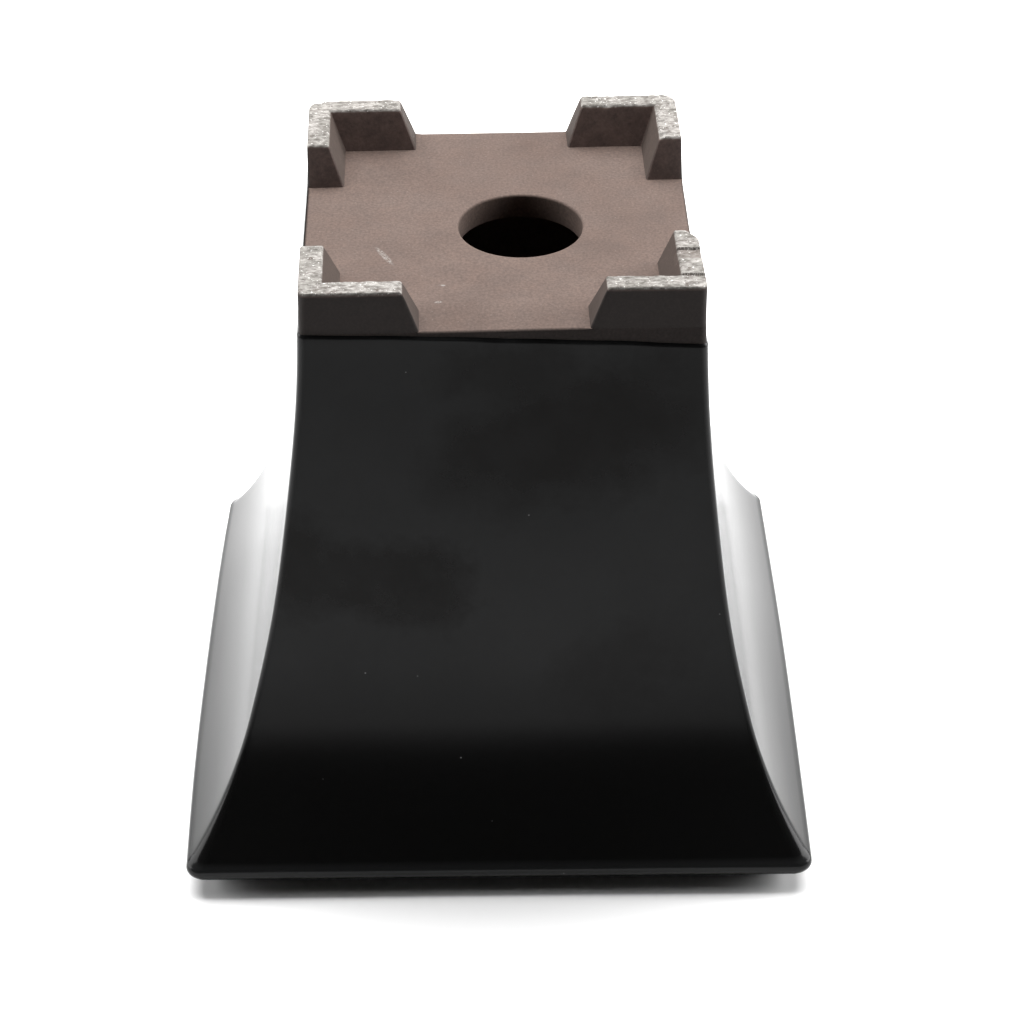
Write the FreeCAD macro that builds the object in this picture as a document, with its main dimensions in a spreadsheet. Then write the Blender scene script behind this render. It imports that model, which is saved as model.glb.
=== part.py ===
"""Square flared bonsai pot, standing upside down on its rim.

Units are millimetres. Z = 0 is the level face that the rim rests on, Z grows towards the feet,
+Y is the back and the Z axis runs through the centre of the rim. In use the pot is turned over,
so its soil cavity opens towards -Z. The pot is put together the way a slab pot is: a floor slab,
four mitred walls, coils pressed into the inside seams, four corner feet and a coat of glaze.
"""
import FreeCAD, Part
import math
import os
import Sketcher

V = FreeCAD.Vector

SIZES = {
    # the whole pot
    "pot_height": 126.5,          # rim face to the ends of the feet
    "foot_half": 37.5,            # half of the square that the feet stand on
    # the flare of the walls, as two tangent arcs on each face
    "upper_radius": 359.0,        # long sweep near the feet, vertical at their ends
    "lower_radius": 75.0,         # tighter flare near the rim
    "junction_height": 33.6,      # where the two arcs meet
    "wall_thickness": 5.5,
    # the lip
    "bead_radius": 1.9,           # rounding of the lip's outer edge
    "bead_height": 6.0,           # height of that rounding's centre
    "underside_slope": 38.0,      # degrees, from the bead down to the face it rests on
    "land_width": 1.4,            # level strip that touches the ground
    # floor and drain hole
    "floor_thickness": 5.0,
    "hole_radius": 12.0,
    "hole_x": 4.6,
    "hole_y": -0.7,
    "hole_edge": 0.8,             # rounding of the hole's outer edge
    # feet: an L at each corner, wider at its base than at its end
    "foot_height": 8.0,
    "foot_arm_base": 21.8,
    "foot_arm_end": 18.6,
    "foot_thick_base": 7.3,
    "foot_thick_end": 4.3,
    # glaze and inside seams
    "glaze_thickness": 0.35,
    "glaze_line": 116.4,          # where the glaze stops, just short of the floor's face
    "corner_coil_radius": 6.0,
    "floor_coil_radius": 4.0,
    # blanks that the pieces are cut from
    "blank_half": 80.0,           # wider than the rim
    "mitre_start": 20.0,          # inside of every wall
}
TOUCHING = 0.001                  # points closer than this count as one
WALL_TOP = "pot_height - foot_height - floor_thickness"
FLOOR_FACE = "pot_height - foot_height"

SIDES = {"back": 0.0, "left": 90.0, "front": 180.0, "right": 270.0}
CORNERS = {"back_right": 0.0, "back_left": 90.0, "front_left": 180.0, "front_right": 270.0}

doc = FreeCAD.newDocument("bonsai_pot")
sheet = doc.addObject("Spreadsheet::Sheet", "Sizes")
for row, (alias, value) in enumerate(SIZES.items(), start=1):
    sheet.set(f"A{row}", alias)
    sheet.set(f"B{row}", str(value))
    sheet.setAlias(f"B{row}", alias)
doc.recompute()


def size(expression):
    """The value of a sum of driving dimensions, such as 'foot_half + upper_radius'."""
    total = 0.0
    sign = 1.0
    for word in expression.split():
        if word in "+-":
            sign = 1.0 if word == "+" else -1.0
        else:
            total += sign * float(sheet.get(word))
    return total


def cells(expression):
    """The same sum with each dimension's name pointed at the sheet."""
    return " ".join(word if word in "+-" else f"Sizes.{word}" for word in expression.split())


def bind(sketch, kind, *where, to):
    """Add a dimension to a sketch and bind it to a sum of driving dimensions."""
    start = math.radians(size(to)) if kind == "Angle" else size(to)
    index = sketch.addConstraint(Sketcher.Constraint(kind, *where, start))
    sketch.setExpression(f"Constraints[{index}]", cells(to))


def turned(degrees):
    """A placement that turns a piece about the pot's axis."""
    return FreeCAD.Placement(V(0, 0, 0), FreeCAD.Rotation(V(0, 0, 1), degrees))


def new_body(label, degrees=0.0):
    body = doc.addObject("PartDesign::Body", label)
    body.Label = label
    body.Placement = turned(degrees)
    return body


def new_sketch(body, name, role, height=None):
    """A sketch on one of the body's own origin planes, raised to a height from the sheet."""
    sketch = body.newObject("Sketcher::SketchObject", name)
    plane = next(item for item in body.Origin.OriginFeatures if item.Role == role)
    sketch.AttachmentSupport = [(plane, "")]
    sketch.MapMode = "FlatFace"
    if height:
        sketch.setExpression("AttachmentOffset.Base.z", cells(height))
    return sketch


def polygon(sketch, points):
    """A closed outline of straight sides through the points, joined end to end."""
    lines = []
    for here, there in zip(points, points[1:] + points[:1]):
        lines.append(sketch.addGeometry(Part.LineSegment(V(*here, 0), V(*there, 0))))
    for line, following in zip(lines, lines[1:] + lines[:1]):
        sketch.addConstraint(Sketcher.Constraint("Coincident", line, 2, following, 1))
    return lines


# The flare. Each arc bulges towards the axis, so its centre stands outside the pot, and a point
# on it is the centre minus the radius times (cos a, sin a), with a the slope away from vertical.

def slope_point(centre, radius, angle):
    return centre - V(math.cos(angle), math.sin(angle), 0) * radius


def arc(centre, radius, start, end):
    return Part.ArcOfCircle(Part.Circle(centre, V(0, 0, 1), radius), start, end)


def flare_centres():
    """Centres of the long arc, the short arc and the lip's bead, and the slopes where they meet."""
    long_centre = V(size("foot_half + upper_radius"), size("pot_height"), 0)
    join = math.asin((size("pot_height") - size("junction_height")) / size("upper_radius"))
    short_centre = slope_point(long_centre, size("upper_radius - lower_radius"), join)
    reach = size("lower_radius + bead_radius")
    lip = math.asin((short_centre.y - size("bead_height")) / reach)
    return long_centre, short_centre, slope_point(short_centre, reach, lip), join, lip


def lip_ends(skin):
    """Ends of the lip's straight underside: at the ground and at the bead."""
    bead_centre = flare_centres()[2]
    slope = math.radians(size("underside_slope"))
    high = bead_centre + V(math.sin(slope), -math.cos(slope), 0) * (size("bead_radius") + skin)
    return high - V(math.cos(slope), math.sin(slope), 0) * (high.y / math.sin(slope)), high


def draw_outside(sketch, top, skin=0.0):
    """Outside face from its top to the ground, a skin's thickness out from the clay.

    Returns the long arc, the short arc, the bead and the underside, which runs up from the ground.
    """
    long_centre, short_centre, bead_centre, join, lip = flare_centres()
    long_radius = size("upper_radius") - skin
    start = math.asin((long_centre.y - size(top)) / long_radius)
    slope = math.radians(size("underside_slope"))
    long_arc = sketch.addGeometry(arc(long_centre, long_radius, math.pi + start, math.pi + join))
    short_arc = sketch.addGeometry(
        arc(short_centre, size("lower_radius") - skin, math.pi + join, math.pi + lip))
    bead = sketch.addGeometry(
        arc(bead_centre, size("bead_radius") + skin, slope - math.pi / 2, lip))
    underside = sketch.addGeometry(Part.LineSegment(*lip_ends(skin)))
    sketch.addConstraint([
        Sketcher.Constraint("Tangent", long_arc, 2, short_arc, 1),
        Sketcher.Constraint("Tangent", short_arc, 2, bead, 2),
        Sketcher.Constraint("Tangent", bead, 1, underside, 2),
        Sketcher.Constraint("PointOnObject", underside, 1, -1),
    ])
    bind(sketch, "DistanceY", -1, 1, long_arc, 1, to=top)
    bind(sketch, "Angle", underside, to="underside_slope")
    return long_arc, short_arc, bead, underside


def fix_outside(sketch, long_arc, short_arc, bead):
    """Bind the centres and radii of the clay's outside face."""
    bind(sketch, "DistanceX", -1, 1, long_arc, 3, to="foot_half + upper_radius")
    bind(sketch, "DistanceY", -1, 1, long_arc, 3, to="pot_height")
    bind(sketch, "Radius", long_arc, to="upper_radius")
    bind(sketch, "DistanceY", -1, 1, short_arc, 1, to="junction_height")
    bind(sketch, "Radius", short_arc, to="lower_radius")
    bind(sketch, "Radius", bead, to="bead_radius")
    bind(sketch, "DistanceY", -1, 1, bead, 3, to="bead_height")


def draw_inside(sketch):
    """Inside face from the floor to the ground: an arc a wall's thickness in, then a tangent one."""
    centre = flare_centres()[0]
    radius = size("upper_radius + wall_thickness")
    start = math.asin((centre.y - size(WALL_TOP)) / radius)
    join = math.asin((centre.y - size("junction_height")) / radius)
    knee = slope_point(centre, radius, join)
    ground = lip_ends(0.0)[0] - V(size("land_width"), 0, 0)
    outward = V(math.cos(join), math.sin(join), 0)
    chord = ground - knee
    low_radius = chord.Length ** 2 / (2 * chord.dot(outward))
    low_centre = knee + outward * low_radius
    ground_slope = math.atan2(low_centre.y - ground.y, low_centre.x - ground.x)
    high_arc = sketch.addGeometry(arc(centre, radius, math.pi + start, math.pi + join))
    low_arc = sketch.addGeometry(
        arc(low_centre, low_radius, math.pi + join, math.pi + ground_slope))
    sketch.addConstraint(Sketcher.Constraint("Tangent", high_arc, 2, low_arc, 1))
    bind(sketch, "Radius", high_arc, to="upper_radius + wall_thickness")
    bind(sketch, "DistanceY", -1, 1, low_arc, 1, to="junction_height")
    return high_arc, low_arc


def draw_shell(sketch):
    """Outside face, lip, level land and inside face of a wall, open at the joint with the floor."""
    long_arc, short_arc, bead, underside = draw_outside(sketch, WALL_TOP)
    fix_outside(sketch, long_arc, short_arc, bead)
    high_arc, low_arc = draw_inside(sketch)
    geometry = sketch.Geometry
    land = sketch.addGeometry(
        Part.LineSegment(geometry[underside].StartPoint, geometry[low_arc].EndPoint))
    sketch.addConstraint([
        Sketcher.Constraint("Coincident", long_arc, 3, high_arc, 3),
        Sketcher.Constraint("Coincident", underside, 1, land, 1),
        Sketcher.Constraint("Coincident", land, 2, low_arc, 2),
        Sketcher.Constraint("Horizontal", land),
    ])
    bind(sketch, "DistanceX", land, 2, land, 1, to="land_width")
    return [long_arc, short_arc, bead, underside, land], high_arc, low_arc


def draw_wall(sketch):
    """Wall section: the shell closed along the joint with the floor."""
    (long_arc, *_), high_arc, _ = draw_shell(sketch)
    geometry = sketch.Geometry
    joint = sketch.addGeometry(
        Part.LineSegment(geometry[long_arc].StartPoint, geometry[high_arc].StartPoint))
    sketch.addConstraint([
        Sketcher.Constraint("Coincident", long_arc, 1, joint, 1),
        Sketcher.Constraint("Coincident", high_arc, 1, joint, 2),
        Sketcher.Constraint("Horizontal", joint),
    ])


def draw_half_cavity(sketch):
    """Section of the soil cavity from the pot's axis to one wall; the wall is only for reference."""
    outside, high_arc, low_arc = draw_shell(sketch)
    for reference in outside:
        sketch.toggleConstruction(reference)
    geometry = sketch.Geometry
    outline = [geometry[high_arc].StartPoint, V(0, geometry[high_arc].StartPoint.y, 0),
               V(0, 0, 0), geometry[low_arc].EndPoint]
    ceiling, axis, mouth = (sketch.addGeometry(Part.LineSegment(here, there))
                            for here, there in zip(outline, outline[1:]))
    sketch.addConstraint([
        Sketcher.Constraint("Coincident", high_arc, 1, ceiling, 1),
        Sketcher.Constraint("Coincident", ceiling, 2, axis, 1),
        Sketcher.Constraint("Coincident", axis, 2, mouth, 1),
        Sketcher.Constraint("Coincident", mouth, 2, low_arc, 2),
        Sketcher.Constraint("Coincident", axis, 2, -1, 1),
        Sketcher.Constraint("Horizontal", ceiling),
        Sketcher.Constraint("Vertical", axis),
    ])
    bind(sketch, "DistanceY", -1, 1, high_arc, 1, to=WALL_TOP)


def draw_glaze(sketch):
    """Glaze section: a thin skin from the glaze line, round the lip, to the ground."""
    clay = draw_outside(sketch, "glaze_line")
    fix_outside(sketch, *clay[:3])
    skin = draw_outside(sketch, "glaze_line", size("glaze_thickness"))
    geometry = sketch.Geometry
    for end in (0, 3):
        line = sketch.addGeometry(
            Part.LineSegment(geometry[skin[end]].StartPoint, geometry[clay[end]].StartPoint))
        sketch.addConstraint([
            Sketcher.Constraint("Coincident", skin[end], 1, line, 1),
            Sketcher.Constraint("Coincident", clay[end], 1, line, 2),
        ])
    for skin_arc, clay_arc in zip(skin[:3], clay[:3]):
        sketch.addConstraint(Sketcher.Constraint("Coincident", skin_arc, 3, clay_arc, 3))
    bind(sketch, "Radius", skin[0], to="upper_radius - glaze_thickness")


def mitred_panel(label, degrees, draw_section):
    """One side of the pot: a section padded across it, its ends cut to meet its neighbours."""
    body = new_body(label, degrees)
    section = new_sketch(body, label + "_section", "YZ_Plane")
    draw_section(section)
    pad = body.newObject("PartDesign::Pad", label + "_pad")
    pad.Profile = section
    pad.Midplane = True
    pad.setExpression("Length", "2 * Sizes.blank_half")
    mitres = new_sketch(body, label + "_mitres", "XY_Plane")
    near = size("mitre_start")
    far = size("blank_half")
    for side in (1, -1):
        corners = [(side * near, near), (side * far, near), (side * far, far)]
        level, upright, slant = polygon(mitres, corners)
        mitres.addConstraint([
            Sketcher.Constraint("Horizontal", level),
            Sketcher.Constraint("Vertical", upright),
        ])
        reach = (-1, 1, level, 1) if side > 0 else (level, 1, -1, 1)
        bind(mitres, "DistanceX", *reach, to="mitre_start")
        bind(mitres, "DistanceY", -1, 1, level, 1, to="mitre_start")
        reach = (-1, 1, upright, 2) if side > 0 else (upright, 2, -1, 1)
        bind(mitres, "DistanceX", *reach, to="blank_half")
        bind(mitres, "DistanceY", -1, 1, upright, 2, to="blank_half")
    cut = body.newObject("PartDesign::Pocket", label + "_mitre_cut")
    cut.Profile = mitres
    cut.Type = "ThroughAll"
    cut.Midplane = True
    return body


def walls():
    return [mitred_panel(f"wall_{side}", degrees, draw_wall) for side, degrees in SIDES.items()]


def glaze_coat():
    """One skin of glaze over all four sides, made as four mitred panels fused together."""
    panels = [mitred_panel(f"glaze_{side}", degrees, draw_glaze) for side, degrees in SIDES.items()]
    coat = doc.addObject("Part::MultiFuse", "glaze_coat")
    coat.Label = "glaze_coat"
    coat.Shapes = panels
    coat.Refine = True
    return coat


def face_half(height):
    """Half-width of the clay's outside face at a height on the long arc."""
    drop = size("pot_height") - size(height)
    return size("foot_half") + size("upper_radius") - math.sqrt(size("upper_radius") ** 2 - drop ** 2)


def face_formula(height):
    """The same half-width as a formula that follows the sheet."""
    drop = f"(Sizes.pot_height - ({cells(height)}))"
    return f"(Sizes.foot_half + Sizes.upper_radius - sqrt(Sizes.upper_radius ^ 2 - {drop} ^ 2))"


def bind_square(sketch, lines, height):
    """Fix a square about the origin whose half-width follows the long arc."""
    for line, kind in zip(lines, ("Horizontal", "Vertical", "Horizontal", "Vertical")):
        sketch.addConstraint(Sketcher.Constraint(kind, line))
    for kind, where in (("DistanceX", (lines[0], 1, -1, 1)), ("DistanceY", (lines[0], 1, -1, 1)),
                        ("DistanceX", (-1, 1, lines[1], 2)), ("DistanceY", (-1, 1, lines[1], 2))):
        index = sketch.addConstraint(Sketcher.Constraint(kind, *where, face_half(height)))
        sketch.setExpression(f"Constraints[{index}]", face_formula(height))


def floor_slab():
    """Square floor, its edges in line with the walls' outside faces, with the drain hole."""
    body = new_body("floor_slab")
    outlines = []
    for name, height in (("slab_inside", WALL_TOP), ("slab_outside", FLOOR_FACE)):
        outline = new_sketch(body, name, "XY_Plane", height)
        half = face_half(height)
        square = [(-half, -half), (half, -half), (half, half), (-half, half)]
        bind_square(outline, polygon(outline, square), height)
        outlines.append(outline)
    blank = body.newObject("PartDesign::AdditiveLoft", "slab_blank")
    blank.Profile = outlines[0]
    blank.Sections = outlines[1:]
    blank.Ruled = True
    hole = new_sketch(body, "drain_hole", "XY_Plane", FLOOR_FACE)
    centre = V(size("hole_x"), size("hole_y"), 0)
    ring = hole.addGeometry(Part.Circle(centre, V(0, 0, 1), size("hole_radius")))
    bind(hole, "Radius", ring, to="hole_radius")
    bind(hole, "DistanceX", -1, 1, ring, 3, to="hole_x")
    bind(hole, "DistanceY", -1, 1, ring, 3, to="hole_y")
    cut = body.newObject("PartDesign::Pocket", "drain_cut")
    cut.Profile = hole
    cut.Type = "ThroughAll"
    doc.recompute()
    edge = next(f"Edge{number}" for number, edge in enumerate(cut.Shape.Edges, start=1)
                if edge.Closed and edge.BoundBox.ZMin > size(FLOOR_FACE) - size("hole_edge"))
    rounding = body.newObject("PartDesign::Fillet", "drain_rounding")
    rounding.Base = (cut, [edge])
    rounding.setExpression("Radius", "Sizes.hole_edge")
    return body


def l_outline(sketch, arm, thick, height):
    """An L with its outer corner at the back right of the pot, arms running along both sides."""
    corner = face_half(height)
    end = corner - size(arm)
    inner = corner - size(thick)
    lines = polygon(sketch, [(corner, corner), (end, corner), (end, inner),
                             (inner, inner), (inner, end), (corner, end)])
    for line, kind in zip(lines, ("Horizontal", "Vertical") * 3):
        sketch.addConstraint(Sketcher.Constraint(kind, line))
    face = face_formula(height)
    spans = (("DistanceX", corner, lines[0], 1, face), ("DistanceY", corner, lines[0], 1, face),
             ("DistanceX", end, lines[1], 1, f"{face} - Sizes.{arm}"),
             ("DistanceY", end, lines[5], 1, f"{face} - Sizes.{arm}"),
             ("DistanceX", inner, lines[3], 1, f"{face} - Sizes.{thick}"),
             ("DistanceY", inner, lines[3], 1, f"{face} - Sizes.{thick}"))
    for kind, value, line, end_point, formula in spans:
        index = sketch.addConstraint(Sketcher.Constraint(kind, -1, 1, line, end_point, value))
        sketch.setExpression(f"Constraints[{index}]", formula)


def feet():
    """Four corner feet, each an L whose inner faces and arm ends lean back from its base."""
    made = []
    for corner, degrees in CORNERS.items():
        body = new_body(f"foot_{corner}", degrees)
        base = new_sketch(body, f"foot_{corner}_base", "XY_Plane", FLOOR_FACE)
        l_outline(base, "foot_arm_base", "foot_thick_base", FLOOR_FACE)
        end = new_sketch(body, f"foot_{corner}_end", "XY_Plane", "pot_height")
        l_outline(end, "foot_arm_end", "foot_thick_end", "pot_height")
        loft = body.newObject("PartDesign::AdditiveLoft", f"foot_{corner}_block")
        loft.Profile = base
        loft.Sections = [end]
        loft.Ruled = True
        made.append(body)
    return made


def cavity_half(label, degrees):
    """The soil cavity between the pot's middle plane and one wall, run on past its neighbours."""
    body = new_body(label, degrees)
    section = new_sketch(body, label + "_section", "YZ_Plane")
    draw_half_cavity(section)
    pad = body.newObject("PartDesign::Pad", label + "_pad")
    pad.Profile = section
    pad.Midplane = True
    pad.setExpression("Length", "2 * Sizes.blank_half")
    return body


def rounded(label, base, radius, is_seam, placement=turned(0)):
    """The base with every edge that is_seam picks rounded to a radius from the sheet."""
    picked = [number for number, edge in enumerate(base.Shape.Edges, start=1) if is_seam(edge)]
    fillet = doc.addObject("Part::Fillet", label)
    fillet.Base = base
    fillet.Edges = [(number, size(radius), size(radius)) for number in picked]
    fillet.Placement = placement
    return fillet


def on_mitre(edge):
    """True for the upright seam between two walls, where x equals y away from the axis."""
    return all(abs(end.X - end.Y) < TOUCHING and end.X > size("mitre_start") for end in edge.Vertexes)


def on_floor(edge):
    """True for the seam between the walls and the floor."""
    return edge.BoundBox.ZMin > size(WALL_TOP) - TOUCHING


def inside_coils():
    """Coils pressed into the inside seams: one up each corner, one all the way round the floor.

    A coil is what is left of the cavity when its seams are rounded off.
    """
    quarter = doc.addObject("Part::Common", "cavity_quarter")
    quarter.Base = cavity_half("cavity_back", SIDES["back"])
    quarter.Tool = cavity_half("cavity_right", SIDES["right"])
    doc.recompute()
    coils = []
    open_quarters = []
    softened = rounded("quarter_softened", quarter, "corner_coil_radius", on_mitre)
    for corner, degrees in CORNERS.items():
        coil = doc.addObject("Part::Cut", f"corner_coil_{corner}")
        coil.Label = f"corner_coil_{corner}"
        coil.Base = quarter
        coil.Tool = softened
        coil.Placement = turned(degrees)
        coils.append(coil)
        open_quarters.append(
            rounded(f"open_{corner}", quarter, "corner_coil_radius", on_mitre, turned(degrees)))
    cavity = doc.addObject("Part::MultiFuse", "cavity")
    cavity.Shapes = open_quarters
    cavity.Refine = True
    doc.recompute()
    ring = doc.addObject("Part::Cut", "floor_coil")
    ring.Label = "floor_coil"
    ring.Base = cavity
    ring.Tool = rounded("cavity_softened", cavity, "floor_coil_radius", on_floor)
    return coils + [ring]


def checked(pieces):
    """Stop if any step of the model failed or any piece isn't one sound solid."""
    for item in doc.Objects:
        if "Invalid" in item.State or "Error" in item.State:
            raise RuntimeError(f"{item.Label} did not build")
    for piece in pieces:
        shape = piece.Shape
        if shape.isNull() or not shape.isValid() or len(shape.Solids) != 1:
            raise RuntimeError(f"{piece.Label} is not one sound solid")
    return pieces


pot = [floor_slab(), *walls(), *inside_coils(), *feet(), glaze_coat()]
doc.recompute()
os.makedirs("parts", exist_ok=True)
for piece in checked(pot):
    piece.Shape.exportStep(f"parts/{piece.Label}.step")
    print(f"{piece.Label}: {piece.Shape.Volume:.0f} cubic mm")
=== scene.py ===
"""Looks of the square bonsai pot that stands upside down on its rim. Metres, +Z towards the feet."""
import math
import bpy
import numpy as np
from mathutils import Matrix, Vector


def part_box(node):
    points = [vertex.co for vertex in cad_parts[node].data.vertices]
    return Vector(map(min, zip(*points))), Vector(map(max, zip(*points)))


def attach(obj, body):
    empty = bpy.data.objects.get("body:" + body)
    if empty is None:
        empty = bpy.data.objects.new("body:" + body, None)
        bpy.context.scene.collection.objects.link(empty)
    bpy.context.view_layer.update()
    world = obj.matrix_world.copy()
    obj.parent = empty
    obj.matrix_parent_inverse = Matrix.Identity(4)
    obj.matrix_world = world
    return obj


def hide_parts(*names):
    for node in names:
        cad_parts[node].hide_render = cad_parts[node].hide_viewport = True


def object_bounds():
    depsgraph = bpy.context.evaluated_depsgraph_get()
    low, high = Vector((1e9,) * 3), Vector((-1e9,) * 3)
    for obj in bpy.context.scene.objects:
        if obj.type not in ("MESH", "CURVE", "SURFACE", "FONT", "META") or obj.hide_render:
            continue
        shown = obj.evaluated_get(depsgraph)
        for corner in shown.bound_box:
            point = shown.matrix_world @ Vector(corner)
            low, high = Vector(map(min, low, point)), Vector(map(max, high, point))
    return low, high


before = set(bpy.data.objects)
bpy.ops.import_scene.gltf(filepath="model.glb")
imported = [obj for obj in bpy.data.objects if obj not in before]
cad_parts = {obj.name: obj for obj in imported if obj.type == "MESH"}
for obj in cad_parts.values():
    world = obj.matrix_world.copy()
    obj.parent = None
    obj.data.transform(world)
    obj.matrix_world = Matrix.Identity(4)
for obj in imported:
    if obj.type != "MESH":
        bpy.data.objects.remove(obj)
cad_low, cad_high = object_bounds()


# ---------------------------------------------------------------------------------------------
# The camera. A small product shot from the front, looking down at about 36 degrees, with the
# long lens that flattens the pot's flare.
camera = bpy.data.objects.new("camera", bpy.data.cameras.new("camera"))
bpy.context.scene.collection.objects.link(camera)
bpy.context.scene.camera = camera
camera.data.sensor_width = 36.0
camera.data.lens = 95.6
camera.data.clip_start = 0.05
camera_aim = np.array([0.0032, 0.0006, 0.0482])
camera_distance = 0.5753
camera_down, camera_round, camera_tilt = np.radians([36.47, -0.955, -0.31])
camera_sight = np.array([-math.sin(camera_round) * math.cos(camera_down),
                         math.cos(camera_round) * math.cos(camera_down),
                         -math.sin(camera_down)])
camera.location = camera_aim - camera_distance * camera_sight
camera_turn = (Matrix.Rotation(camera_round, 3, "Z")
               @ Matrix.Rotation(math.pi / 2 - camera_down, 3, "X")
               @ Matrix.Rotation(camera_tilt, 3, "Z"))
camera.rotation_euler = camera_turn.to_euler()


# ---------------------------------------------------------------------------------------------
# The floor slab. Grey-brown clay rolled flat and wiped with a damp sponge, its outer edge rubbed
# round between the feet, with the drain hole cut through it a little off centre.

slab_low, slab_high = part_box("floor_slab")
floor_face = slab_high.z
floor_inside = slab_low.z
pot_top = cad_high[2]
foot_square = 0.0375            # half of the square at the feet's ends
long_radius = 0.359             # the walls' long sweep
short_radius = 0.075            # the tighter flare near the rim
flare_change = 0.0336           # height where the two meet
bead_height = 0.0060            # height of the lip's bead, over the ground
dry_turn = math.radians(1.15)   # the foot end turned this much against the rim as the pot dried
dry_drift = np.array([0.0006, 0.0006])
stain_and_shade_colour = (0.0225, 0.0172, 0.0155, 1)       # outer clay painted darker: partly staining, partly painted shade on the faces turned outwards


def face_half(z, out=0.0):
    """Half-width of the clay's outside at height z, moved out by a skin: two tangent arcs.

    Each arc's centre stands outside the pot: half = centre - sqrt(radius^2 - (centre height - z)^2).
    """
    join = np.arcsin((pot_top - flare_change) / long_radius)
    long_centre = foot_square + long_radius
    short_centre = long_centre - (long_radius - short_radius) * np.cos(join)
    short_height = pot_top - (long_radius - short_radius) * np.sin(join)
    long_part = long_centre - np.sqrt((long_radius - out) ** 2 - (pot_top - z) ** 2)
    short_part = short_centre - np.sqrt(
        np.maximum((short_radius - out) ** 2 - (short_height - z) ** 2, 0.0))
    return np.where(z > flare_change - out * np.sin(join), long_part, short_part)


def corner_radius(z):
    """Rounding of the pot's four outside corners in plan: crisp at mid height, soft at the rim."""
    crisp, more_at_feet, more_at_rim = 0.0009, 0.0004, 0.0032
    softer_above, softer_below = 0.05, 0.035
    towards_feet = np.clip((z - softer_above) / (pot_top - softer_above), 0.0, 1.0)
    towards_rim = np.clip(1 - z / softer_below, 0.0, 1.0)
    return crisp + more_at_feet * towards_feet + more_at_rim * towards_rim ** 2


def hand(points):
    """The hand-made unevenness of the clay: two long waves along each axis, a tenth of a mm high.

    Then what drying did: a twist and a drift in proportion to height, a slight belly above the
    middle, a rim that is a little deeper than it is wide and bows out to both sides, a front right
    foot that spread, a lip that sagged, most at the height of its bead, and a floor whose front
    edge drooped.
    """
    wave_across, wave_up = 0.00007, 0.00005
    still_below = 0.012                     # the waves die away towards the ground
    rim_half, rim_shift = 0.0636, 0.0003
    rim_narrower, rim_deeper = 0.0040, 0.0105
    bow_left, bow_right = 0.0012, 0.0006
    foot_spread, lip_sag = 0.00045, 0.0006
    belly_swell, belly_height, belly_tall = 0.012, 0.084, 0.024
    droop_depth, droop_from, droop_wide = 0.0007, 0.0285, 0.0085
    droop_above, droop_below = 0.006, 0.0022        # how far it is felt over and under the face
    x, y, z = points[..., 0], points[..., 1], points[..., 2]
    wave_x = np.sin(83 * y + 47 * z + 0.7) + 0.7 * np.sin(141 * z - 95 * x + 2.1)
    wave_y = np.sin(77 * x - 59 * z + 1.9) + 0.7 * np.sin(133 * z + 88 * y + 0.4)
    wave_z = np.sin(91 * x + 62 * y + 2.6) + 0.6 * np.sin(150 * x - 118 * y + 1.2)
    share = z / pot_top
    grip = np.clip(z / still_below, 0.0, 1.0)
    angle = dry_turn * (share - 0.5)
    rim = np.clip(1 - share, 0.0, 1.0) ** 2
    bow = np.clip(1 - (y / rim_half) ** 2, 0.0, 1.0) * rim
    bow = bow * np.clip(x / rim_half, -1.0, 1.0) * np.where(x < 0, bow_left, bow_right)
    spread = np.clip(x / foot_square, 0, 1) * np.clip(-y / foot_square, 0, 1) * share ** 2
    above = np.clip(1 - (z - floor_face) / droop_above, 0.0, 1.0)
    below = np.clip(1 - (floor_face - z) / droop_below, 0.0, 1.0)
    front = np.clip((-y - droop_from) / droop_wide, 0.0, 1.0)
    droop = front ** 2 * (3 - 2 * front) * np.minimum(above, below)
    sag = z / bead_height * np.exp(1 - z / bead_height)
    belly = belly_swell * np.exp(-((z - belly_height) / belly_tall) ** 2)
    east = x * (1 + belly - rim_narrower * rim) + wave_across * wave_x * grip
    east = east - rim_shift * rim + bow + foot_spread * spread
    north = y * (1 + belly + rim_deeper * rim) + wave_across * wave_y * grip
    moved = np.empty_like(points)
    moved[..., 0] = east * np.cos(angle) - north * np.sin(angle) + dry_drift[0] * share
    moved[..., 1] = east * np.sin(angle) + north * np.cos(angle) + dry_drift[1] * share
    moved[..., 2] = z + wave_up * wave_z * grip - lip_sag * sag - droop_depth * droop
    return moved


def side_points(half, corner, along=72, bend=8):
    """One side of a rounded square, from mitre to mitre, as (outwards, along) for each half-width.

    The straight part slides from -1 to 1 and an eighth of a circle turns it to the mitre each end.
    """
    turn = np.concatenate([np.linspace(-math.pi / 4, 0, bend, endpoint=False), np.zeros(along),
                           np.linspace(0, math.pi / 4, bend + 1)[1:]])
    slide = np.concatenate([-np.ones(bend), np.linspace(-1, 1, along), np.ones(bend)])
    flat = (half - corner)[..., None]
    outwards = flat + corner[..., None] * np.cos(turn)
    along_side = slide * flat + corner[..., None] * np.sin(turn)
    return outwards, along_side


def ring_points(half, corner, height, along=72, bend=8):
    """The four sides in turn, each without the last point that the next side starts from.

    The sides face back, left, front and right, so the ring runs anticlockwise seen from the feet.
    """
    outwards, along_side = side_points(half, corner, along, bend)
    outwards, along_side = outwards[..., :-1], along_side[..., :-1]
    sides = []
    for quarter in range(4):
        angle = math.pi / 2 * (quarter + 1)
        sides.append(np.stack([outwards * math.cos(angle) - along_side * math.sin(angle),
                               outwards * math.sin(angle) + along_side * math.cos(angle)], -1))
    plan = np.concatenate(sides, axis=-2)
    tall = np.broadcast_to(height[..., None] if height.ndim == 1 else height, plan.shape[:-1])
    return np.concatenate([plan, tall[..., None]], axis=-1)


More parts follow.
